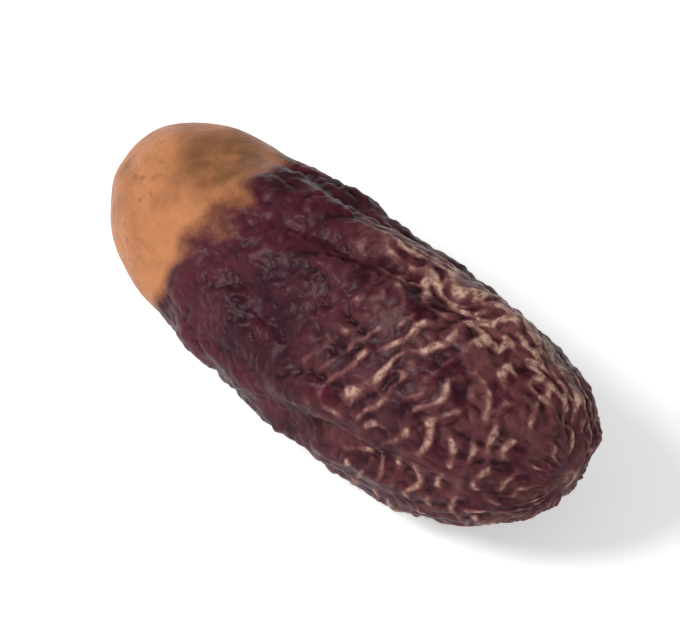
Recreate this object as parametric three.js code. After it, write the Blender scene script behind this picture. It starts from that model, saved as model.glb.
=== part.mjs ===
// A whole dried date of the two-toned Sagai kind, lying on its side, as one closed solid.
// Units are millimetres and +Z is up. +X runs along the fruit from its stalk end to its apex.
// The origin is under the middle of the fruit, on the surface that it rests on.
import * as THREE from "three";

// Driving dimensions.
const LENGTH = 46; // along X, stalk end to apex
const WIDTH = 19; // across Y at the widest
const HEIGHT = 17.6; // from the resting spot to the top
const SETTLED = 0.3; // how far the underside is pressed flat where the fruit rests

// The outline along the fruit.
const STALK_FULLNESS = 4; // how blunt the stalk half is: 2 is an ellipse, more is blunter
const APEX_FULLNESS = 3; // and the apex half
const TAPER = 0.15; // how much slimmer the stalk end is than the middle, as a share
const NECK_STATION = -0.5; // where the firm stalk end meets the softer flesh, which has shrunk a little
const NECK_REACH = 0.13;
const NECK_SHARE = 0.03;
const BEND = 1.1; // how far the middle stands out sideways from a line through both ends
const RISE = 0.9; // how much higher the axis is at the apex than in the middle

// The scar that the stalk left, a shallow dish with a raised rim, and the small point at the apex.
const SCAR_RADIUS = 2.3;
const SCAR_DEPTH = 0.75;
const SCAR_RIM = 0.22;
const NIB_RADIUS = 1.1;
const NIB_HEIGHT = 0.45;

// How finely the surface is divided, around the fruit and along it.
const SEGMENTS_AROUND = 72;
const SEGMENTS_ALONG = 44;

const SKIN_COLOUR = 0x6b3430;

// Broad sides that the flesh took as it dried: how many round the fruit, how far they swell as a share
// of the radius, where the first one faces, and how far they turn from the middle to the apex. Angles
// are in degrees from the front (-Y), rising over the top (+Z).
const lobes = [
  { count: 2, swell: 0.018, facing: 20, twist: 25 },
  { count: 3, swell: 0.03, facing: 95, twist: -28 },
  { count: 5, swell: 0.012, facing: 12, twist: 40 },
];

// Shallow hollows: the station and angle of the middle, the reach along (in stations) and around (in
// degrees), and the depth in millimetres. Station -1 is the stalk end and 1 the apex.
const hollows = [
  { station: 0.02, facing: 62, along: 0.3, around: 26, depth: 0.75 },
  { station: 0.52, facing: 8, along: 0.22, around: 30, depth: 0.5 },
  { station: -0.45, facing: 18, along: 0.16, around: 24, depth: 0.45 },
  { station: 0.4, facing: 150, along: 0.3, around: 28, depth: 0.65 },
  { station: -0.3, facing: 205, along: 0.3, around: 30, depth: 0.6 },
];

// Long folds of skin that sank with the flesh: the angle, the stations where each begins and ends, how
// far it wanders around, its depth and its half width in millimetres.
const folds = [
  { facing: 88, from: -0.3, to: 0.8, wander: 10, depth: 0.6, halfWidth: 1.3 },
  { facing: 36, from: -0.55, to: 0.3, wander: -12, depth: 0.45, halfWidth: 1.2 },
  { facing: -4, from: -0.05, to: 0.85, wander: 9, depth: 0.5, halfWidth: 1.25 },
  { facing: 132, from: -0.6, to: 0.5, wander: 12, depth: 0.55, halfWidth: 1.3 },
  { facing: 184, from: -0.2, to: 0.82, wander: -10, depth: 0.45, halfWidth: 1.25 },
  { facing: 226, from: -0.7, to: 0.25, wander: 8, depth: 0.4, halfWidth: 1.2 },
  { facing: 318, from: -0.45, to: 0.45, wander: 10, depth: 0.4, halfWidth: 1.2 },
];
const FOLD_FADE = 0.2; // the stations over which a fold comes in and goes out
const FOLD_SHOULDER = 0.4; // how high the skin stands beside a fold, as a share of its depth

const bell = (x) => Math.exp(-x * x);

// The turn from one angle to another, in degrees from -180 to 180.
function turnBetween(from, to) {
  return THREE.MathUtils.euclideanModulo(to - from + 180, 360) - 180;
}

// The fruit's half thickness at a station, as a share of that of its middle.
function girth(station) {
  const fullness = station < 0 ? STALK_FULLNESS : APEX_FULLNESS;
  const round = Math.sqrt(Math.max(0, 1 - Math.abs(station) ** fullness));
  const neck = 1 - NECK_SHARE * bell((station - NECK_STATION) / NECK_REACH);
  return round * neck * (1 + TAPER * station);
}

// How far the broad sides swell the radius, as a share of it.
function lobeSwell(station, angle) {
  let swell = 0;
  for (const lobe of lobes) {
    const facing = lobe.facing + lobe.twist * station;
    swell += lobe.swell * Math.cos(THREE.MathUtils.degToRad(lobe.count * (angle - facing)));
  }
  return swell;
}

// How deep the hollows are at a point of the surface.
function hollowDepth(station, angle) {
  let depth = 0;
  for (const hollow of hollows) {
    const along = (station - hollow.station) / hollow.along;
    const around = turnBetween(hollow.facing, angle) / hollow.around;
    depth += hollow.depth * bell(Math.hypot(along, around));
  }
  return depth;
}

// How deep the folds are at a point of the surface, less the shoulders that stand up beside them.
function foldDepth(station, angle, radius) {
  let depth = 0;
  for (const fold of folds) {
    const middle = fold.facing + fold.wander * Math.sin(3 * station);
    const across = Math.abs(THREE.MathUtils.degToRad(turnBetween(middle, angle))) * radius;
    const present =
      THREE.MathUtils.smoothstep(station, fold.from, fold.from + FOLD_FADE) *
      (1 - THREE.MathUtils.smoothstep(station, fold.to - FOLD_FADE, fold.to));
    const groove = bell(across / fold.halfWidth);
    const shoulder = bell((across - 2 * fold.halfWidth) / fold.halfWidth);
    depth += fold.depth * present * (groove - FOLD_SHOULDER * shoulder);
  }
  return depth;
}

// Moves a point of a unit sphere, whose poles lie on X, to the surface of the fruit.
function shapeFruit(point) {
  const station = THREE.MathUtils.clamp(point.x, -1, 1);
  const angle = THREE.MathUtils.radToDeg(Math.atan2(point.z, -point.y));
  const outward = new THREE.Vector3(0, point.y, point.z).normalize();
  const radius = (girth(station) * (WIDTH + HEIGHT)) / 4;
  const swollen = girth(station) * (1 + lobeSwell(station, angle));
  const sunk = girth(station) * (hollowDepth(station, angle) + foldDepth(station, angle, radius));

  point.set((LENGTH / 2) * station, (swollen * outward.y * WIDTH) / 2, (swollen * outward.z * HEIGHT) / 2);
  point.addScaledVector(outward, -sunk);
  if (station < 0) {
    const dish = SCAR_DEPTH * bell(radius / SCAR_RADIUS);
    const rim = SCAR_RIM * bell((radius - 1.5 * SCAR_RADIUS) / (0.5 * SCAR_RADIUS));
    point.x += dish - rim;
  } else {
    point.x += NIB_HEIGHT * bell(radius / NIB_RADIUS);
  }
  point.y -= BEND * (1 - station * station);
  point.z += RISE * station;
}

// Stretches a geometry to an exact size, centres it, and presses its underside flat on the plane z = 0.
function settle(geometry) {
  geometry.computeBoundingBox();
  const size = geometry.boundingBox.getSize(new THREE.Vector3());
  geometry.scale(LENGTH / size.x, WIDTH / size.y, (HEIGHT + SETTLED) / size.z);
  geometry.center();
  geometry.translate(0, 0, (HEIGHT - SETTLED) / 2);
  const position = geometry.getAttribute("position");
  for (let i = 0; i < position.count; i++) {
    position.setZ(i, Math.max(0, position.getZ(i)));
  }
}

function makeDate() {
  const geometry = new THREE.SphereGeometry(1, SEGMENTS_AROUND, SEGMENTS_ALONG).rotateZ(Math.PI / 2);
  const position = geometry.getAttribute("position");
  const point = new THREE.Vector3();
  for (let i = 0; i < position.count; i++) {
    point.fromBufferAttribute(position, i);
    shapeFruit(point);
    position.setXYZ(i, point.x, point.y, point.z);
  }
  settle(geometry);
  geometry.computeVertexNormals();
  const skin = new THREE.MeshStandardMaterial({ color: SKIN_COLOUR, roughness: 0.45, metalness: 0 });
  const date = new THREE.Mesh(geometry, skin);
  date.name = "date";
  return date;
}

const fruit = new THREE.Group();
fruit.add(makeDate());

export default fruit;
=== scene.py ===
"""A whole dried date of a two-toned kind, lying on a plain pale floor.

The skin is one closed surface. A point on it is named by two parameters: its station, from -1 at the stalk
end to 1 at the apex, and its angle around the fruit, from the front (-Y) over the top (+Z). The broad form
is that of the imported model's solid, and the wrinkles of the dried skin are added along its normals.
"""

from typing import NamedTuple

import bpy
import numpy as np
from bpy.props import FloatProperty, FloatVectorProperty, IntProperty, PointerProperty
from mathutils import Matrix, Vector


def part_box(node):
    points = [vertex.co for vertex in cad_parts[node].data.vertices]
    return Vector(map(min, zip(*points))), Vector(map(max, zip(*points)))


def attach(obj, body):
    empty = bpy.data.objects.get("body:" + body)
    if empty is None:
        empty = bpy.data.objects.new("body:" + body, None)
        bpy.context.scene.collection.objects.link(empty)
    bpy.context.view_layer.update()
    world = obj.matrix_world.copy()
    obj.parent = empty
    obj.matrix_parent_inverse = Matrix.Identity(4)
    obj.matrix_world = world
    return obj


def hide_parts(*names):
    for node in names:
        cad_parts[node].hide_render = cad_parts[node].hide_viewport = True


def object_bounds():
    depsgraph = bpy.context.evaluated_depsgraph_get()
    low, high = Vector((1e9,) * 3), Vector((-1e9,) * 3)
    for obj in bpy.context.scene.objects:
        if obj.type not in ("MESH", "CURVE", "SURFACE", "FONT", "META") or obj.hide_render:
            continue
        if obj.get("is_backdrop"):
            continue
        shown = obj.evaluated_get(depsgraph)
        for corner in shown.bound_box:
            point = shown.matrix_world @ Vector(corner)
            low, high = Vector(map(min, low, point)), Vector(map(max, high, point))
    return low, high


bl_info = {
    "name": "Two-toned dried date",
    "version": (1, 0, 0),
    "blender": (4, 5, 0),
    "location": "3D View > Sidebar > Date",
    "description": "Makes a whole dried date with a smooth golden stalk end and wrinkled dark flesh",
    "category": "Add Mesh",
}

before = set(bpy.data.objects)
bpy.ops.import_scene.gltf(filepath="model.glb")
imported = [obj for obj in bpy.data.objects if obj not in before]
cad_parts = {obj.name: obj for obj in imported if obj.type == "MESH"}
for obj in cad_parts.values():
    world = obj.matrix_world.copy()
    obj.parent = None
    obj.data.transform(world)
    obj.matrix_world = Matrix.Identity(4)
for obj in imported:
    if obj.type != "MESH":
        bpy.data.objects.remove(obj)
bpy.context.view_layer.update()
CAD_LOW, CAD_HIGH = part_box("date")

MM = 0.001  # one millimetre in metres
SEED = 11

# ----------------------------------------------------------------------------------------------------------
# The broad form: the same numbers as the solid's. Angles are in degrees.
# ----------------------------------------------------------------------------------------------------------

STALK_FULLNESS = 4
APEX_FULLNESS = 3
TAPER = 0.15
NECK_STATION = -0.5
NECK_REACH = 0.13
NECK_SHARE = 0.03
BEND = 1.1 * MM
RISE = 0.9 * MM
SCAR_RADIUS = 2.3 * MM
SCAR_DEPTH = 0.75 * MM
SCAR_RIM = 0.22 * MM
NIB_RADIUS = 1.1 * MM
NIB_HEIGHT = 0.45 * MM

# how many round the fruit, swell as a share of the radius, the way the first one faces, turn to the apex
LOBES = (
    (2, 0.018, 20, 25),
    (3, 0.03, 95, -28),
    (5, 0.012, 12, 40),
)
# station, angle, reach in stations, reach in degrees, depth
HOLLOWS = (
    (0.02, 62, 0.3, 26, 0.75 * MM),
    (0.52, 8, 0.22, 30, 0.5 * MM),
    (-0.45, 18, 0.16, 24, 0.45 * MM),
    (0.4, 150, 0.3, 28, 0.65 * MM),
    (-0.3, 205, 0.3, 30, 0.6 * MM),
)
# angle, first and last station, wander in degrees, depth, half width
FOLDS = (
    (88, -0.3, 0.8, 10, 0.6 * MM, 1.3 * MM),
    (36, -0.55, 0.3, -12, 0.45 * MM, 1.2 * MM),
    (-4, -0.05, 0.85, 9, 0.5 * MM, 1.25 * MM),
    (132, -0.6, 0.5, 12, 0.55 * MM, 1.3 * MM),
    (184, -0.2, 0.82, -10, 0.45 * MM, 1.25 * MM),
    (226, -0.7, 0.25, 8, 0.4 * MM, 1.2 * MM),
    (318, -0.45, 0.45, 10, 0.4 * MM, 1.2 * MM),
)
FOLD_FADE = 0.2
FOLD_SHOULDER = 0.4


def bell(x):
    """The exponential of minus x squared."""
    return np.exp(-x * x)


def smooth_step(x, low, high):
    """0 up to low, 1 from high on, and 3t^2 - 2t^3 between them."""
    t = np.clip((x - low) / (high - low), 0, 1)
    return t * t * (3 - 2 * t)


def turn_between(start, end):
    """The turn from one angle to another, in degrees from -180 to 180."""
    return (end - start + 180) % 360 - 180


def girth(station):
    """The fruit's half thickness as a share of its middle's: the square root of 1 - |station| to a power,
    a little narrower at the neck and towards the stalk."""
    fullness = np.where(station < 0, STALK_FULLNESS, APEX_FULLNESS)
    rounded = np.sqrt(np.clip(1 - np.abs(station) ** fullness, 0, None))
    neck = 1 - NECK_SHARE * bell((station - NECK_STATION) / NECK_REACH)
    return rounded * neck * (1 + TAPER * station)


def lobe_swell(station, angle):
    """The sum of a cosine around the fruit for each set of broad sides."""
    swell = 0
    for count, share, facing, twist in LOBES:
        swell = swell + share * np.cos(np.radians(count * (angle - facing - twist * station)))
    return swell


def sunk_depth(station, angle, radius):
    """The sum of the bell-shaped hollows and of the long folds, which have raised shoulders."""
    depth = 0
    for middle, facing, along, around, deep in HOLLOWS:
        distance = np.hypot((station - middle) / along, turn_between(facing, angle) / around)
        depth = depth + deep * bell(distance)
    for facing, first, last, wander, deep, half_width in FOLDS:
        middle = facing + wander * np.sin(3 * station)
        across = np.abs(np.radians(turn_between(middle, angle))) * radius
        comes_in = smooth_step(station, first, first + FOLD_FADE)
        goes_out = smooth_step(station, last - FOLD_FADE, last)
        shoulder = FOLD_SHOULDER * bell((across - 2 * half_width) / half_width)
        depth = depth + deep * comes_in * (1 - goes_out) * (bell(across / half_width) - shoulder)
    return depth


def fruit_form(station, angle, shape):
    """Points of the broad form: an ellipse at each station, swollen by the lobes and sunk by the hollows and
    folds, with the scar's dish at the stalk end, a small nib at the apex, and a slight bend and rise."""
    across = -np.cos(np.radians(angle))
    up = np.sin(np.radians(angle))
    share = girth(station)
    radius = share * (shape.width + shape.height) / 4
    swollen = share * (1 + lobe_swell(station, angle))
    sunk = share * sunk_depth(station, angle, radius)
    dish = SCAR_DEPTH * bell(radius / SCAR_RADIUS)
    rim = SCAR_RIM * bell((radius - 1.5 * SCAR_RADIUS) / (0.5 * SCAR_RADIUS))
    nib = NIB_HEIGHT * bell(radius / NIB_RADIUS)
    x = station * shape.length / 2 + np.where(station < 0, dish - rim, nib)
    y = across * (swollen * shape.width / 2 - sunk) - BEND * (1 - station * station)
    z = up * (swollen * shape.height / 2 - sunk) + RISE * station
    return np.stack([x, y, z], -1)


# ----------------------------------------------------------------------------------------------------------
# The dried skin: its random fields.
# ----------------------------------------------------------------------------------------------------------


class Sheet(NamedTuple):
    """The grid on which the skin is worked out, with a row for each ring and a column for each angle."""

    station: np.ndarray
    angle: np.ndarray
    radius: np.ndarray  # the fruit's mean half thickness
    places: np.ndarray  # where the random fields are read
    spacing: tuple  # from ring to ring, and from column to column at the middle of the fruit


def ring_stations(shape):
    """Stations that are evenly spaced along the outline, and how far along it each one lies."""
    turn = np.linspace(0, np.pi, 4001)
    station = -np.cos(turn)
    outline = np.stack([station * shape.length / 2, girth(station) * (shape.width + shape.height) / 4])
    along = np.concatenate([[0], np.cumsum(np.linalg.norm(np.diff(outline), axis=0))])
    middles = (np.arange(shape.rings) + 0.5) * along[-1] / shape.rings
    return np.interp(middles, along, station), middles


def lay_out(shape):
    """The grid. Random fields are read on a tube whose radius is the root of the fruit's times its middle's.
    It narrows more slowly than the fruit does, so wrinkles crowd together towards the ends."""
    ring_station, along = ring_stations(shape)
    column_angle = np.arange(shape.columns) * 360 / shape.columns
    station, angle = np.meshgrid(ring_station, column_angle, indexing="ij")
    middle_radius = (shape.width + shape.height) / 4
    radius = girth(station) * middle_radius
    tube = np.sqrt(radius * middle_radius)
    turn = np.radians(angle)
    lengthwise = np.broadcast_to(along[:, None], tube.shape)
    places = np.stack([lengthwise, tube * np.cos(turn), tube * np.sin(turn)], -1)
    spacing = (along[1] - along[0], 2 * np.pi * middle_radius / shape.columns)
    return Sheet(station, angle, radius, places, spacing)


def random_waves(places, wavelength, rng, spread=0.25, waves=56):
    """A smooth random field of unit variance: a sum of cosines with random directions and phases, whose
    wavelengths lie within a share, spread, of the given one."""
    direction = rng.standard_normal((waves, 3))
    direction /= np.linalg.norm(direction, axis=1, keepdims=True)
    length = wavelength * rng.uniform(1 - spread, 1 + spread, waves)
    phase = rng.uniform(0, 2 * np.pi, waves)
    field = 0
    for way, one_length, shift in zip(direction, length, phase):
        field = field + np.cos(places @ (way * 2 * np.pi / one_length) + shift)
    return field * np.sqrt(2 / waves)


def warped(places, wavelength, reach, rng):
    """The places, each moved by up to about reach by three smooth random fields."""
    moves = [random_waves(places, wavelength, rng, waves=24) for _ in range(3)]
    return places + reach * np.stack(moves, -1)


def creases(field, softness):
    """0 where a field is zero, rising on both sides of it by the root of the field's square plus the
    softness's, and about 1 where the field is highest in most places."""
    usual_height = 1.2
    return (np.sqrt(field * field + softness * softness) - softness) / usual_height


def labyrinth(sheet, wavelength, drive, rng, pulls=(0, 0)):
    """Winding ridges of even width, as a skin buckles when the flesh under it shrinks, from 0 in the valleys
    to about 1 on the crests. A random field grows by its drive and is held back by its cube, while waves die
    away the more their wavelength differs from the given one, and the faster they vary along and around the
    fruit, by the two pulls. A share of the field's square, the lean, makes the valleys wider than the
    ridges."""
    steps = 120
    pace = 0.5
    lean = -0.25
    crest_height = 1.3
    lift = 0.2
    rows, columns = sheet.station.shape
    along = np.fft.fftfreq(rows, sheet.spacing[0])[:, None] * wavelength
    around = np.fft.rfftfreq(columns, sheet.spacing[1])[None, :] * wavelength
    damping = (1 - along**2 - around**2) ** 2 + pulls[0] * along**2 + pulls[1] * around**2
    field = 0.3 * rng.standard_normal((rows, columns))
    for _ in range(steps):
        field = field + pace * (drive * field + lean * field**2 - field**3)
        field = np.fft.irfft2(np.fft.rfft2(field) / (1 + pace * damping), s=(rows, columns))
    return np.clip(field / crest_height + lift, 0, None)


def swayed(sheet, wavelength, reach, rng):
    """The grid's rows and columns as fractional numbers, each moved by about reach by a random field."""
    rows, columns = sheet.station.shape
    row, column = np.meshgrid(np.arange(rows), np.arange(columns), indexing="ij")
    row = row + reach / sheet.spacing[0] * random_waves(sheet.places, wavelength, rng, 0.5)
    column = column + reach / sheet.spacing[1] * random_waves(sheet.places, wavelength, rng, 0.5)
    return row, column


def resampled(rings, rows, columns):
    """The rings' values at fractional rows and columns, blended between the four nearest points."""
    count, around = rings.shape
    rows = np.clip(rows, 0, count - 1.001)
    row = np.floor(rows).astype(int)
    column = np.floor(columns).astype(int)
    down = rows - row
    across = columns - column
    column = column % around
    beside = (column + 1) % around
    near = rings[row, column] * (1 - across) + rings[row, beside] * across
    far = rings[row + 1, column] * (1 - across) + rings[row + 1, beside] * across
    return near * (1 - down) + far * down


def smoothed(rings, passes):
    """Each point's mean with its neighbours, weighed 1 2 1 along and around, that many times."""
    for _ in range(passes):
        rings = (np.roll(rings, -1, axis=1) + 2 * rings + np.roll(rings, 1, axis=1)) / 4
        padded = np.pad(rings, ((1, 1), (0, 0)), mode="edge")
        rings = (padded[:-2] + 2 * rings + padded[2:]) / 4
    return rings


# ----------------------------------------------------------------------------------------------------------
# The dried skin: its parts. Stations run from -1 at the stalk end to 1 at the apex.
# ----------------------------------------------------------------------------------------------------------

# The golden end reaches furthest towards the apex at one angle, in a tongue so many degrees wide.
TONGUE_ANGLE = 52
TONGUE_REACH = 55
TONGUE_LENGTH = 0.2
# How the edge of the golden end wanders: how far in stations, over what wavelength, by how many waves.
EDGE_WANDER = ((0.045, 13 * MM, 24), (0.015, 3.5 * MM, 56))
GOLD_FADE = (-0.16, 0.1)  # where gold begins and ends to fade, in stations from the edge
FIRM_FADE = (-0.1, 0.06)  # and where firm skin gives way to loose skin
FIRM_RISE = 0.42 * MM  # brings the firm end level with the wrinkles beside it
FIRM_UNEVENNESS = 0.05 * MM  # how far the firm skin stands up and down, over the next wavelength
FIRM_WAVELENGTH = 5 * MM

# A shallow brown dent in the golden end: its station and angle, its reach along (in stations) and around (in
# degrees), its depth, and the share of the gold that it takes away.
DENT = (-0.58, 98, 0.13, 26, 0.45 * MM)
DENT_FADING = 0.15

# The long ridge of dry, papery skin near the top: its angle, half width and sway in degrees, the stations
# between which it comes in and goes out, and its height.
RIDGE_ANGLE = 112
RIDGE_REACH = 27
RIDGE_SWAY = 5
RIDGE_START = (-0.1, 0.15)
RIDGE_END = (0.86, 0.99)
RIDGE_HEIGHT = 0.3 * MM

# The swellings of the shrunken flesh between its creases, in three sizes: how far they are drawn out along
# the fruit, their wavelength, the wavelength and reach of their bends, how soft the creases are, and how high
# they stand as a share of the fold height.
SWELLINGS = (
    (2.4, 8.5 * MM, 9 * MM, 0.8 * MM, 0.2, 1.0),
    (1.6, 4.6 * MM, 5 * MM, 0.5 * MM, 0.1, 0.58),
    (1.0, 1.35 * MM, 1.5 * MM, 0.1 * MM, 0.15, 0.29),
)

# The thin crests: how far apart the long lines, the short dashes and the strands on the ridge stand, how far
# they sway and over what wavelength, and the powers that thin them.
LINE_SPACING = 1.5 * MM
DASH_SPACING = 1.15 * MM
STRAND_SPACING = 1.3 * MM
SWAY = 0.3 * MM
SWAY_LENGTH = 4 * MM
LINE_SHARPNESS = 2.2
DASH_SHARPNESS = 1.5
# The wavelengths at which lines and dashes break off, lines get stronger, and the skin gets drier.
LINE_GAPS = 2.8 * MM
DASH_GAPS = 2.2 * MM
LINE_STRENGTHS = 3.5 * MM
DRIER_PATCHES = 10 * MM
# The pulls for the labyrinth: the lines mostly lie around the fruit, and the strands along it.
LINE_PULLS = (0, 0.04)
STRAND_PULLS = (0.25, 0)
CREST_GAIN = 1.1  # makes up for the height that smoothing takes from the crests

APEX_START = (0.0, 0.5)  # stations between which the skin turns from moist to dry
TIP_START = (0.5, 0.95)  # and from dry to driest
POLE_CALM = (0.4 * MM, 3.0 * MM)  # radii between which the wrinkles fade out towards the poles
FLOOR_CALM = 1.2 * MM  # the height above the floor below which the wrinkles are pressed flat
FLOOR_SHARE = 0.25  # and the share of them that stays
RAISED_PASSES = 10  # the skin is raised or sunk against its mean after so many passes of smoothing

PIT_RADIUS = 0.5 * MM
PIT_DEPTH = 0.35 * MM
RIM_WIDTH = 0.37 * MM
RIM_DEPTH = 0.1 * MM
SCAR_GRAIN = 0.03 * MM  # how far its fibres stand up, over the next wavelength
SCAR_FIBRES = 0.8 * MM
SCAR_WANDER = 0.07  # how far its outline wanders as a share of its radius, over the next wavelength
SCAR_WANDER_LENGTH = 3 * MM


def golden_end(sheet, gold_edge, rng):
    """How golden the skin is, how firm it is, and where its dent is. Gold and firmness fall by smooth steps
    past an edge, which wanders by random fields and reaches towards the apex in a bell-shaped tongue. The
    dent is a bell too."""
    tongue = bell(turn_between(TONGUE_ANGLE, sheet.angle) / TONGUE_REACH)
    edge = gold_edge + TONGUE_LENGTH * (tongue - 0.5)
    for reach, wavelength, waves in EDGE_WANDER:
        edge = edge + reach * random_waves(sheet.places, wavelength, rng, waves=waves)
    station, facing, along, around, _ = DENT
    dent = bell(np.hypot((sheet.station - station) / along, turn_between(facing, sheet.angle) / around))
    gold = 1 - smooth_step(sheet.station, edge + GOLD_FADE[0], edge + GOLD_FADE[1])
    firm = 1 - smooth_step(sheet.station, edge + FIRM_FADE[0], edge + FIRM_FADE[1])
    return gold * (1 - DENT_FADING * dent), firm, dent


def dry_ridge(sheet):
    """The share of the papery ridge: a bell around its swaying middle, between its two ends."""
    middle = RIDGE_ANGLE + RIDGE_SWAY * np.sin(4 * sheet.station)
    share = bell(turn_between(middle, sheet.angle) / RIDGE_REACH)
    return share * smooth_step(sheet.station, *RIDGE_START) * (1 - smooth_step(sheet.station, *RIDGE_END))


def swellings(sheet, rng):
    """The sum of the three sizes of swelling, each the creases of a random field that is read at warped
    places."""
    height = 0
    for stretch, wavelength, bend_length, bend_reach, softness, share in SWELLINGS:
        places = warped(sheet.places / [stretch, 1, 1], bend_length, bend_reach, rng)
        height = height + share * creases(random_waves(places, wavelength, rng), softness)
    return height


def crests(sheet, apex, ridge, rng):
    """How far the skin is pinched up, from 0 to about 1, and where its drier patches are. The lines are the
    labyrinth's crests that lie around the fruit, thinned by a power, broken by a random field, and clearest
    towards the apex. The dashes are a finer labyrinth with more gaps. On the papery ridge, strands that lie
    along the fruit take the place of the dashes."""
    places = sheet.places
    unbroken = smooth_step(random_waves(places, LINE_GAPS, rng, 0.4), -1.8, 0.3)
    seldom = smooth_step(random_waves(places, DASH_GAPS, rng, 0.4), -0.6, 0.8)
    patches = smooth_step(random_waves(places, DRIER_PATCHES, rng, waves=24), -1.2, 1.0)
    sway = swayed(sheet, SWAY_LENGTH, SWAY, rng)

    drive = 0.3 + 0.35 * apex + 0.13 * random_waves(places, LINE_STRENGTHS, rng, 0.4)
    lines = resampled(labyrinth(sheet, LINE_SPACING, drive, rng, LINE_PULLS), *sway) ** LINE_SHARPNESS
    lines = lines * (0.25 + 0.75 * unbroken) * np.clip(0.1 + 0.2 * patches + 0.95 * apex, 0, 1)

    dashes = resampled(labyrinth(sheet, DASH_SPACING, 0.5, rng), *sway) ** DASH_SHARPNESS
    dashes = dashes * seldom * np.clip(0.3 + 0.2 * patches + 0.15 * apex + 0.8 * ridge, 0, 1.2)

    strand_rng = np.random.default_rng(SEED + 1)
    strands = resampled(labyrinth(sheet, STRAND_SPACING, 0.5, strand_rng, STRAND_PULLS), *sway)
    strands = strands**LINE_SHARPNESS * (0.35 + 0.65 * unbroken)

    short = np.maximum(dashes * (1 - ridge), 2.0 * strands * ridge)
    return np.maximum(lines, 0.7 * short), patches


def stalk_scar(sheet, rng):
    """How far the scar that the stalk left lowers the skin, and how much it darkens it: a fibrous disc with
    a dark rim and a small pit, whose outlines wander by a random field. The pit's darkening is painted shade."""
    stalk_side = sheet.station < 0
    wander = random_waves(sheet.places, SCAR_WANDER_LENGTH, rng, waves=24)
    radius = sheet.radius * (1 + SCAR_WANDER * wander)
    pit = stalk_side * (1 - smooth_step(radius, 0.6 * PIT_RADIUS, 1.2 * PIT_RADIUS))
    rim = stalk_side * bell((radius - SCAR_RADIUS) / RIM_WIDTH)
    disc = stalk_side * (1 - smooth_step(radius, 0.85 * SCAR_RADIUS, 1.05 * SCAR_RADIUS))
    grain = random_waves(sheet.places, SCAR_FIBRES, rng, 0.4)
    lowered = PIT_DEPTH * pit + RIM_DEPTH * rim - SCAR_GRAIN * disc * grain
    # the pit's full share makes it near black in the material: painted shade
    return lowered, np.clip(disc * (0.3 + 0.12 * grain) + 0.45 * rim + pit, 0, 1)


def grid_normals(points):
    """Outward normals of a grid of rings: the cross product of the steps along and around it."""
    around = np.roll(points, -1, axis=1) - np.roll(points, 1, axis=1)
    along = np.gradient(points, axis=0)
    normal = np.cross(along, around)
    return normal / np.linalg.norm(normal, axis=-1, keepdims=True)


def settled(points, shape):
    """The rings with a pole in the middle of each end, stretched to the fruit's exact size, centred, and
    pressed flat on the plane z = 0."""
    poles = [points[0].mean(0), points[-1].mean(0)]
    points = np.concatenate([poles[:1], points.reshape(-1, 3), poles[1:]])
    low, high = points.min(0), points.max(0)
    size = np.array([shape.length, shape.width, shape.height + shape.settled])
    points = (points - (low + high) / 2) * size / (high - low)
    points[:, 2] += (shape.height - shape.settled) / 2
    points[:, 2] = np.maximum(points[:, 2], 0)
    return points


def dried_skin(shape):
    """The skin's points, and for each point of the rings how golden it is, how far it stands above its
    surroundings, how pale a crest it is on, how dry it is, and how dark the scar is there. The relief is the
    sum of the swellings, the crests, the ridge and the firm end, less the dent and the scar, and it is laid
    on the broad form along its normals."""
    rng = np.random.default_rng(SEED)
    sheet = lay_out(shape)
    form = fruit_form(sheet.station, sheet.angle, shape)
    gold, firm, dent = golden_end(sheet, shape.gold_edge, rng)
    ridge = dry_ridge(sheet)
    apex = smooth_step(sheet.station, *APEX_START)
    loose = (1 - firm) * smooth_step(sheet.radius, *POLE_CALM)
    swelling = loose * swellings(sheet, rng)
    pinched, patches = crests(sheet, apex, ridge, rng)
    pinched = CREST_GAIN * smoothed(loose * pinched, 1)

    relief = shape.fold_height * swelling + shape.wrinkle_height * pinched + RIDGE_HEIGHT * ridge
    unevenness = FIRM_UNEVENNESS * random_waves(sheet.places, FIRM_WAVELENGTH, rng)
    relief = relief + firm * (unevenness + FIRM_RISE) - DENT[-1] * dent
    above_floor = smooth_step(form[..., 2] - form[..., 2].min(), 0, FLOOR_CALM)
    relief = relief * (FLOOR_SHARE + (1 - FLOOR_SHARE) * above_floor)
    # the material darkens the skin where this is low, as painted shade in the grooves
    raised = (relief - smoothed(relief, RAISED_PASSES)) / shape.wrinkle_height
    lowered, scar = stalk_scar(sheet, rng)

    nib = (sheet.station > 0) * bell(sheet.radius / NIB_RADIUS)
    # the crest share paints the crests and the papery ridge pale: partly their dry skin, partly a painted
    # highlight; at the nib it is the tip's own tan
    crest = np.maximum(pinched * (0.75 + 0.25 * apex + 0.95 * ridge), 0.7 * nib)
    driest = smooth_step(sheet.station, *TIP_START)
    dry = (1 - firm) * np.clip(0.05 + 0.15 * patches + 0.4 * apex + 0.3 * driest + 1.0 * ridge, 0, 1)

    points = form + (relief - lowered)[..., None] * grid_normals(form)
    shares = {"gold": gold, "dent": dent, "raised": raised, "crest": crest, "dry": dry, "scar": scar}
    return settled(points, shape), shares


# ----------------------------------------------------------------------------------------------------------
# The mesh.
# ----------------------------------------------------------------------------------------------------------


def ring_faces(rings, columns):
    """Four-sided faces between neighbouring rings and a fan of triangles round each pole, facing outwards."""
    first = 1 + np.arange(rings * columns).reshape(rings, columns)
    beside = np.roll(first, -1, axis=1)
    last = 1 + rings * columns
    sides = np.stack([first[:-1], first[1:], beside[1:], beside[:-1]], -1).reshape(-1, 4)
    stalk = np.stack([np.zeros(columns, int), first[0], beside[0]], -1)
    apex = np.stack([np.full(columns, last), beside[-1], first[-1]], -1)
    return sides, stalk, apex


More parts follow.
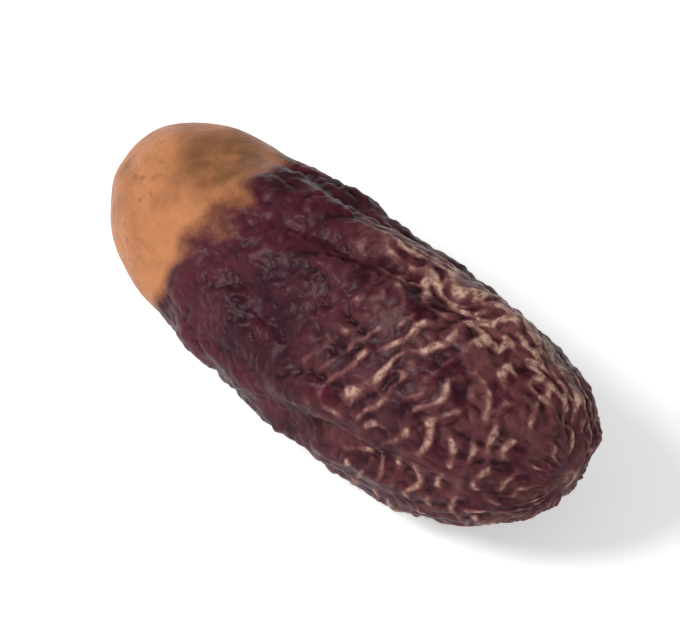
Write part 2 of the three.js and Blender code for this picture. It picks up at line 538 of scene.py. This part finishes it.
def outward_mesh(name, points, faces):
    """A smooth mesh of the points and of each group of faces."""
    mesh = bpy.data.meshes.new(name)
    mesh.from_pydata(points.tolist(), [], [face for group in faces for face in group.tolist()])
    mesh.polygons.foreach_set("use_smooth", np.ones(len(mesh.polygons), bool))
    mesh.update()
    return mesh


def stacked(corners):
    """One array from each face's corners, which are pairs of arrays."""
    return np.stack([np.stack(np.broadcast_arrays(*corner), -1) for corner in corners], -2)


def add_bake_map(mesh, rings, columns):
    """A map for baking: across by how far round the fruit a corner lies, and up by how far along, where each
    fan's middle corner lies halfway between its other two."""
    column, row = np.meshgrid(np.arange(columns), 1 + np.arange(rings - 1))
    around = np.arange(columns)
    sides = stacked([(column, row), (column, row + 1), (column + 1, row + 1), (column + 1, row)])
    stalk = stacked([(around + 0.5, 0), (around, 1), (around + 1, 1)])
    apex = stacked([(around + 0.5, rings + 1), (around + 1, rings), (around, rings)])
    corners = np.concatenate([group.reshape(-1, 2) for group in (sides, stalk, apex)])
    corners = corners / [columns, rings + 1]
    mesh.uv_layers.new(name="OFBake").data.foreach_set("uv", corners.ravel().astype(np.float32))


def add_share(mesh, name, rings):
    """Keeps one number for each point, with the poles taking the mean of the ring next to them."""
    values = np.concatenate([[rings[0].mean()], rings.ravel(), [rings[-1].mean()]])
    attribute = mesh.attributes.new(name, "FLOAT", "POINT")
    attribute.data.foreach_set("value", values.astype(np.float32))


# ----------------------------------------------------------------------------------------------------------
# Materials. Each pattern's size is that of its largest features.
# ----------------------------------------------------------------------------------------------------------

FLESH_PATCHES = 5 * MM
DRYING_PATCHES = 2.2 * MM
CREST_GAPS = 1.6 * MM
CREST_FLAKES = 0.5 * MM
GOLD_CLOUDS = 4.5 * MM
GOLD_STREAKS = 0.9 * MM
STREAK_STRETCH = (0.22, 1, 1)  # a scale below 1 draws the streaks out along X
BROWNED_PATCHES = 1.8 * MM
FRECKLES = 1.0 * MM
GOLD_EDGE_FRAY = 1.7 * MM
GLOSS_PATCHES = 1.1 * MM
FINE_CREASES = 1.1 * MM
FINE_CREASE_DEPTH = 0.1 * MM
SKIN_GRAIN = 0.3 * MM
SKIN_GRAIN_DEPTH = 0.04 * MM
BASE_SPECULAR = 0.03
GLOSS_WEIGHT = 0.09
GLOSS_ROUGHNESS = 0.24
WHITE = (1, 1, 1, 1)


def opaque(colour):
    """A colour with full alpha."""
    return (*colour, 1.0)


def add_node(tree, kind, inputs=None, **settings):
    """Adds a shader node. An input is given a value, or another node's output to link to."""
    made = tree.nodes.new(kind)
    for name, value in settings.items():
        setattr(made, name, value)
    for name, value in (inputs or {}).items():
        if isinstance(value, bpy.types.NodeSocket):
            tree.links.new(value, made.inputs[name])
        else:
            made.inputs[name].default_value = value
    return made


def new_material(name):
    """A material with only a Principled shader, and its node tree."""
    material = bpy.data.materials.new(name)
    material.use_nodes = True
    tree = material.node_tree
    tree.nodes.clear()
    shader = add_node(tree, "ShaderNodeBsdfPrincipled")
    add_node(tree, "ShaderNodeOutputMaterial", {"Surface": shader.outputs["BSDF"]})
    return material, tree, shader


def object_places(tree):
    """Where a point of the surface is, in metres."""
    return add_node(tree, "ShaderNodeTexCoord").outputs["Object"]


def share_of(tree, name):
    """A number that the mesh keeps for each point."""
    return add_node(tree, "ShaderNodeAttribute", attribute_name=name).outputs["Fac"]


def noise(tree, places, size, detail=2.0, roughness=0.5):
    """Smooth noise from 0 to 1 with features of a size, and finer ones in it."""
    inputs = {"Vector": places, "Scale": 1 / size, "Detail": detail, "Roughness": roughness}
    return add_node(tree, "ShaderNodeTexNoise", inputs).outputs["Fac"]


def between(tree, value, low, high, to_low=0.0, to_high=1.0):
    """The value's smooth step from low to high, as a number from to_low to to_high."""
    inputs = {"Value": value, "From Min": low, "From Max": high, "To Min": to_low, "To Max": to_high}
    return add_node(tree, "ShaderNodeMapRange", inputs, interpolation_type="SMOOTHSTEP").outputs["Result"]


def times(tree, first, second):
    """The product of two numbers."""
    return add_node(tree, "ShaderNodeMath", {0: first, 1: second}, operation="MULTIPLY").outputs["Value"]


def shifted(tree, value, amount, reach):
    """The value moved up or down by up to half the reach, as the amount goes from 0 to 1."""
    moved = add_node(tree, "ShaderNodeMath", {0: amount, 1: reach, 2: -reach / 2}, operation="MULTIPLY_ADD")
    inputs = {0: value, 1: moved.outputs["Value"]}
    return add_node(tree, "ShaderNodeMath", inputs, operation="ADD").outputs["Value"]


def blended(tree, share, first, second):
    """The first colour where the share is 0 and the second where it is 1."""
    made = add_node(tree, "ShaderNodeMix", data_type="RGBA")
    factor, colour_a, colour_b = made.inputs[0], made.inputs[6], made.inputs[7]
    for socket, value in ((factor, share), (colour_a, first), (colour_b, second)):
        if isinstance(value, bpy.types.NodeSocket):
            tree.links.new(value, socket)
        else:
            socket.default_value = value
    return made.outputs[2]


def flesh_colour(tree, places, colours):
    """Deep and red patches, browner where the skin dries, with painted shade in the grooves, and pale and
    flaky where dry skin is pinched into a crest, which partly paints the highlight that the crests catch."""
    deep = opaque(colours.deep_flesh)
    red = opaque(colours.red_flesh)
    brown = opaque(colours.dry_flesh)

    redness = between(tree, noise(tree, places, FLESH_PATCHES, 4.0), 0.38, 0.64)
    flesh = blended(tree, redness, deep, red)
    drying = between(tree, noise(tree, places, DRYING_PATCHES, 4.0), 0.35, 0.65)
    drying = times(tree, share_of(tree, "dry"), drying)
    flesh = blended(tree, drying, flesh, brown)
    # painted shade: the skin is darkened where it lies below its surroundings
    painted_groove_shade = between(tree, share_of(tree, "raised"), -0.5, 0.1, 0.85, 0)
    flesh = blended(tree, painted_groove_shade, flesh, opaque(colours.groove_painted_shade))

    # the crests are painted pale: partly the loose dry skin on them, partly a painted highlight where they
    # catch the light
    unbroken = between(tree, noise(tree, places, CREST_GAPS, 3.0), 0.34, 0.62, 0.3, 1.15)
    pale_crest_and_highlight = times(tree, share_of(tree, "crest"), unbroken)
    flesh = blended(tree, between(tree, pale_crest_and_highlight, 0.08, 0.4), flesh, brown)
    flaking = between(tree, noise(tree, places, CREST_FLAKES, 3.0, 0.6), 0.35, 0.62, 0.15, 1)
    pale_flakes_and_highlight = blended(tree, flaking, brown, opaque(colours.dry_crest_and_highlight))
    return blended(tree, between(tree, pale_crest_and_highlight, 0.22, 0.7), flesh, pale_flakes_and_highlight)


def gold_colour(tree, places, colours):
    """Gold with darker clouds, streaks along the fruit, a browned dent and a few freckles, and a brown scar
    with painted shade in its pit."""
    shade = opaque(colours.gold_shade)
    amber = opaque(colours.amber)

    clouds = between(tree, noise(tree, places, GOLD_CLOUDS, 5.0, 0.6), 0.38, 0.7)
    gold = blended(tree, clouds, opaque(colours.gold), shade)
    drawn_out = add_node(tree, "ShaderNodeMapping", {"Vector": places, "Scale": STREAK_STRETCH})
    streaks = noise(tree, drawn_out.outputs["Vector"], GOLD_STREAKS, 5.0, 0.6)
    streaks = between(tree, streaks, 0.5, 0.78, 0, 0.7)
    gold = blended(tree, streaks, gold, shade)
    browned = between(tree, noise(tree, places, BROWNED_PATCHES, 4.0), 0.3, 0.6, 0.45, 1)
    browned = times(tree, between(tree, share_of(tree, "dent"), 0.03, 0.55), browned)
    gold = blended(tree, browned, gold, opaque(colours.gold_dent))
    freckles = between(tree, noise(tree, places, FRECKLES, 3.0), 0.62, 0.74, 0, 0.6)
    gold = blended(tree, freckles, gold, amber)
    scar = share_of(tree, "scar")
    gold = blended(tree, between(tree, scar, 0.05, 0.8), gold, amber)
    # painted shade: where the scar share is highest, in the pit, the colour goes near black
    return blended(tree, between(tree, scar, 0.75, 1.0), gold, opaque(colours.pit))


def skin_bump(tree, places):
    """The finest creases, folded by ridged noise, and a grain on them."""
    inputs = {
        "Vector": places,
        "Scale": 1 / FINE_CREASES,
        "Detail": 5.0,
        "Roughness": 0.6,
        "Distortion": 0.6,
    }
    folded = add_node(tree, "ShaderNodeTexNoise", inputs, noise_type="RIDGED_MULTIFRACTAL").outputs["Fac"]
    inputs = {"Height": folded, "Strength": 1.0, "Distance": FINE_CREASE_DEPTH}
    creased = add_node(tree, "ShaderNodeBump", inputs).outputs["Normal"]
    grain = noise(tree, places, SKIN_GRAIN, 4.0, 0.65)
    inputs = {"Height": grain, "Strength": 1.0, "Distance": SKIN_GRAIN_DEPTH, "Normal": creased}
    return add_node(tree, "ShaderNodeBump", inputs).outputs["Normal"]


def date_skin_material(colours):
    """Flesh and gold, with an amber band where they meet, under a thin uneven gloss."""
    material, tree, shader = new_material("dried_date_skin")
    places = object_places(tree)
    frayed = noise(tree, places, GOLD_EDGE_FRAY, 6.0, 0.65)
    gold = shifted(tree, share_of(tree, "gold"), frayed, 0.7)
    flesh = flesh_colour(tree, places, colours)
    colour = blended(tree, between(tree, gold, 0.25, 0.55), flesh, opaque(colours.amber))
    colour = blended(tree, between(tree, gold, 0.4, 0.9), colour, gold_colour(tree, places, colours))
    roughness = between(tree, noise(tree, places, GLOSS_PATCHES, 3.0), 0.3, 0.7, 0.27, 0.46)
    normal = skin_bump(tree, places)

    tree.links.new(colour, shader.inputs["Base Color"])
    tree.links.new(roughness, shader.inputs["Roughness"])
    tree.links.new(normal, shader.inputs["Normal"])
    tree.links.new(normal, shader.inputs["Coat Normal"])
    shader.inputs["Specular IOR Level"].default_value = BASE_SPECULAR
    shader.inputs["Coat Weight"].default_value = GLOSS_WEIGHT
    shader.inputs["Coat Roughness"].default_value = GLOSS_ROUGHNESS
    return material


# ----------------------------------------------------------------------------------------------------------
# Settings.
# ----------------------------------------------------------------------------------------------------------


class DateShape(bpy.types.PropertyGroup):
    length: FloatProperty(
        name="Length",
        description="From the stalk end to the apex",
        default=CAD_HIGH.x - CAD_LOW.x,
        subtype="DISTANCE",
        unit="LENGTH",
    )
    width: FloatProperty(
        name="Width",
        description="Across the fruit at its widest",
        default=CAD_HIGH.y - CAD_LOW.y,
        subtype="DISTANCE",
        unit="LENGTH",
    )
    height: FloatProperty(
        name="Height",
        description="From the floor to the top of the fruit",
        default=CAD_HIGH.z - CAD_LOW.z,
        subtype="DISTANCE",
        unit="LENGTH",
    )
    settled: FloatProperty(
        name="Settled",
        description="How far the underside is pressed flat",
        default=0.3 * MM,
        subtype="DISTANCE",
        unit="LENGTH",
    )
    gold_edge: FloatProperty(
        name="Golden end",
        description="The station where the golden stalk end meets the dark flesh",
        default=-0.46,
        min=-1,
        max=1,
    )
    fold_height: FloatProperty(
        name="Fold height",
        description="How high the broad folds of the dried skin stand",
        default=0.34 * MM,
        subtype="DISTANCE",
        unit="LENGTH",
    )
    wrinkle_height: FloatProperty(
        name="Wrinkle height",
        description="How high the thin crests of the dried skin stand",
        default=0.27 * MM,
        subtype="DISTANCE",
        unit="LENGTH",
    )
    rings: IntProperty(name="Rings", description="Rings of points along the fruit", default=290, min=8)
    columns: IntProperty(name="Columns", description="Points in each ring", default=340, min=8)


class DateColours(bpy.types.PropertyGroup):
    gold: FloatVectorProperty(
        name="Gold",
        description="The smooth stalk end",
        subtype="COLOR",
        size=3,
        default=(0.49, 0.2, 0.085),
    )
    gold_shade: FloatVectorProperty(
        name="Gold shade",
        description="Darker clouds and streaks of the stalk end",
        subtype="COLOR",
        size=3,
        default=(0.31, 0.125, 0.058),
    )
    gold_dent: FloatVectorProperty(
        name="Gold dent",
        description="The browned dent in the stalk end",
        subtype="COLOR",
        size=3,
        default=(0.2, 0.088, 0.038),
    )
    amber: FloatVectorProperty(
        name="Amber",
        description="The band where gold meets flesh, the freckles and the scar",
        subtype="COLOR",
        size=3,
        default=(0.19, 0.068, 0.038),
    )
    # painted shade: the near-black in the small hollow of the scar
    pit: FloatVectorProperty(
        name="Pit",
        description="The hollow in the scar of the stalk",
        subtype="COLOR",
        size=3,
        default=(0.05, 0.02, 0.012),
    )
    # painted shade: the dark colour laid into the bottom of the wrinkles
    groove_painted_shade: FloatVectorProperty(
        name="Groove",
        description="The moist skin at the bottom of the wrinkles",
        subtype="COLOR",
        size=3,
        default=(0.014, 0.004, 0.006),
    )
    deep_flesh: FloatVectorProperty(
        name="Deep flesh",
        description="The darkest skin",
        subtype="COLOR",
        size=3,
        default=(0.032, 0.0075, 0.0135),
    )
    red_flesh: FloatVectorProperty(
        name="Red flesh",
        description="The lighter, redder skin",
        subtype="COLOR",
        size=3,
        default=(0.076, 0.0145, 0.025),
    )
    dry_flesh: FloatVectorProperty(
        name="Dry flesh",
        description="Skin that begins to dry, below the crests and towards the apex",
        subtype="COLOR",
        size=3,
        default=(0.145, 0.05, 0.05),
    )
    # partly the pale dry skin of the crests and partly a painted highlight on them
    dry_crest_and_highlight: FloatVectorProperty(
        name="Dry crest",
        description="Loose dry skin on the crests",
        subtype="COLOR",
        size=3,
        default=(0.5, 0.315, 0.235),
    )


class StudioSettings(bpy.types.PropertyGroup):
    floor: FloatVectorProperty(
        name="Floor",
        description="The colour of the floor",
        subtype="COLOR",
        size=3,
        default=(0.86, 0.86, 0.86),
    )
    key_power: FloatProperty(
        name="Key lamp",
        description="The power of the lamp at the stalk end, in watts",
        default=4.6,
        min=0,
    )
    fill_power: FloatProperty(
        name="Fill lamp",
        description="The power of the lamp at the apex, in watts",
        default=1.0,
        min=0,
    )
    sky_light: FloatProperty(
        name="Sky light",
        description="The strength of the even light from all around",
        default=0.35,
        min=0,
    )
    azimuth: FloatProperty(
        name="Azimuth",
        description="How far the camera stands round from the front, towards the apex",
        subtype="ANGLE",
        unit="ROTATION",
        default=np.radians(46.0),
    )
    elevation: FloatProperty(
        name="Elevation",
        description="How steeply the camera looks down",
        subtype="ANGLE",
        unit="ROTATION",
        default=np.radians(48.0),
    )
    distance: FloatProperty(
        name="Distance",
        description="From the camera to the middle of the fruit",
        subtype="DISTANCE",
        unit="LENGTH",
        default=0.28,
    )
    lens: FloatProperty(name="Lens", description="The camera's focal length in millimetres", default=200)


# ----------------------------------------------------------------------------------------------------------
# The date.
# ----------------------------------------------------------------------------------------------------------


class DATE_OT_make_date(bpy.types.Operator):
    """Make the dried date from its skin surface"""

    bl_idname = "date.make_date"
    bl_label = "Make Date"

    def execute(self, context):
        shape = context.scene.date_shape
        points, shares = dried_skin(shape)
        mesh = outward_mesh("dried_date", points, ring_faces(shape.rings, shape.columns))
        add_bake_map(mesh, shape.rings, shape.columns)
        for name, rings in shares.items():
            add_share(mesh, name, rings)
        mesh.materials.append(date_skin_material(context.scene.date_colours))

        piece = bpy.data.objects.new("dried_date", mesh)
        context.scene.collection.objects.link(piece)
        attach(piece, "root")
        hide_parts("date")
        return {"FINISHED"}


# ----------------------------------------------------------------------------------------------------------
# The stage.
# ----------------------------------------------------------------------------------------------------------

FLOOR_HALF = 2.0
# The floor's own glow, which lights nothing: from less to more between two distances from the origin.
GLOW_DISTANCES = (0.1, 0.6)
GLOW_STRENGTHS = (0.42, 0.78)
FLOOR_ROUGHNESS = 0.9
KEY_PLACE = (-0.28, -0.42, 0.55)
KEY_SIZE = 0.3
FILL_PLACE = (0.6, -0.3, 0.35)
FILL_SIZE = 0.5
# The backdrop is white up to a height above the horizon, as a direction's z, and dim from a greater one.
BACKDROP_HEIGHTS = (0.09, 0.3)
CEILING_STRENGTH = 0.08


def seen_directly(tree):
    """1 where the camera sees a surface, or sees it mirrored or through glass, and 0 where it only gives
    light."""
    paths = add_node(tree, "ShaderNodeLightPath").outputs
    seen = paths["Is Camera Ray"]
    for name in ("Is Glossy Ray", "Is Transmission Ray"):
        either = add_node(tree, "ShaderNodeMath", {0: seen, 1: paths[name]}, operation="MAXIMUM")
        seen = either.outputs["Value"]
    return seen


def floor_material(colour):
    """A pale matt floor with a glow of its own that lights nothing, and that makes it white around its
    shadows."""
    material, tree, shader = new_material("studio_floor")
    distance = add_node(tree, "ShaderNodeVectorMath", {0: object_places(tree)}, operation="LENGTH")
    glow = between(tree, distance.outputs["Value"], *GLOW_DISTANCES, *GLOW_STRENGTHS)
    tree.links.new(times(tree, seen_directly(tree), glow), shader.inputs["Emission Strength"])
    shader.inputs["Emission Color"].default_value = WHITE
    shader.inputs["Base Color"].default_value = opaque(colour)
    shader.inputs["Roughness"].default_value = FLOOR_ROUGHNESS
    return material


def lay_floor(scene, colour):
    """A square floor at z = 0."""
    corners = [(-1, -1), (1, -1), (1, 1), (-1, 1)]
    mesh = bpy.data.meshes.new("floor")
    mesh.from_pydata([(x * FLOOR_HALF, y * FLOOR_HALF, 0) for x, y in corners], [], [(0, 1, 2, 3)])
    mesh.materials.append(floor_material(colour))
    floor = bpy.data.objects.new("floor", mesh)
    scene.collection.objects.link(floor)
    floor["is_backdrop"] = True


def hang_lamp(scene, name, place, target, size, power):
    """A round soft lamp at a place, facing a target."""
    light = bpy.data.lights.new(name, "AREA")
    light.shape = "DISK"
    light.size = size
    light.energy = power
    lamp = bpy.data.objects.new(name, light)
    lamp.location = place
    lamp.rotation_euler = (Vector(target) - Vector(place)).to_track_quat("-Z", "Y").to_euler()
    scene.collection.objects.link(lamp)


def set_world(scene, sky_light):
    """An even light, with a white backdrop low down and a dim ceiling where the world is seen directly."""
    world = bpy.data.worlds.new("studio")
    scene.world = world
    world.use_nodes = True
    tree = world.node_tree
    tree.nodes.clear()
    direction = add_node(tree, "ShaderNodeTexCoord").outputs["Generated"]
    height = add_node(tree, "ShaderNodeSeparateXYZ", {"Vector": direction}).outputs["Z"]
    backdrop = between(tree, height, *BACKDROP_HEIGHTS, 1, CEILING_STRENGTH)
    strength = between(tree, seen_directly(tree), 0, 1, sky_light, backdrop)
    background = add_node(tree, "ShaderNodeBackground", {"Color": WHITE, "Strength": strength})
    add_node(tree, "ShaderNodeOutputWorld", {"Surface": background.outputs["Background"]})


def place_camera(scene, studio, target):
    """A camera that looks at the target from its azimuth, elevation and distance."""
    sideways = np.cos(studio.elevation)
    x = np.sin(studio.azimuth) * sideways
    y = -np.cos(studio.azimuth) * sideways
    away = Vector((x, y, np.sin(studio.elevation)))
    data = bpy.data.cameras.new("camera")
    data.lens = studio.lens
    camera = bpy.data.objects.new("camera", data)
    camera.location = target + away * studio.distance
    camera.rotation_euler = (-away).to_track_quat("-Z", "Y").to_euler()
    scene.collection.objects.link(camera)
    scene.camera = camera


class DATE_OT_set_stage(bpy.types.Operator):
    """Lay the floor, hang the lamps and place the camera"""

    bl_idname = "date.set_stage"
    bl_label = "Set Stage"

    def execute(self, context):
        scene = context.scene
        studio = scene.date_studio
        low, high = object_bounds()
        middle = (low + high) / 2
        lay_floor(scene, studio.floor)
        hang_lamp(scene, "key_lamp", KEY_PLACE, middle, KEY_SIZE, studio.key_power)
        hang_lamp(scene, "fill_lamp", FILL_PLACE, middle, FILL_SIZE, studio.fill_power)
        set_world(scene, studio.sky_light)
        place_camera(scene, studio, middle)
        scene.view_settings.view_transform = "Standard"
        return {"FINISHED"}


# ----------------------------------------------------------------------------------------------------------
# The panel and the run.
# ----------------------------------------------------------------------------------------------------------


class DATE_PT_panel(bpy.types.Panel):
    bl_idname = "DATE_PT_panel"
    bl_label = "Dried Date"
    bl_space_type = "VIEW_3D"
    bl_region_type = "UI"
    bl_category = "Date"

    def draw(self, context):
        column = self.layout.column()
        for group in (context.scene.date_shape, context.scene.date_colours, context.scene.date_studio):
            for name in group.__annotations__:
                column.prop(group, name)
        column.operator(DATE_OT_make_date.bl_idname)
        column.operator(DATE_OT_set_stage.bl_idname)


CLASSES = (
    DateShape,
    DateColours,
    StudioSettings,
    DATE_OT_make_date,
    DATE_OT_set_stage,
    DATE_PT_panel,
)


def register():
    for cls in CLASSES:
        bpy.utils.register_class(cls)
    bpy.types.Scene.date_shape = PointerProperty(type=DateShape)
    bpy.types.Scene.date_colours = PointerProperty(type=DateColours)
    bpy.types.Scene.date_studio = PointerProperty(type=StudioSettings)


def unregister():
    del bpy.types.Scene.date_studio
    del bpy.types.Scene.date_colours
    del bpy.types.Scene.date_shape
    for cls in reversed(CLASSES):
        bpy.utils.unregister_class(cls)


def main():
    register()
    bpy.ops.date.make_date()
    bpy.ops.date.set_stage()


if __name__ == "__main__":
    main()
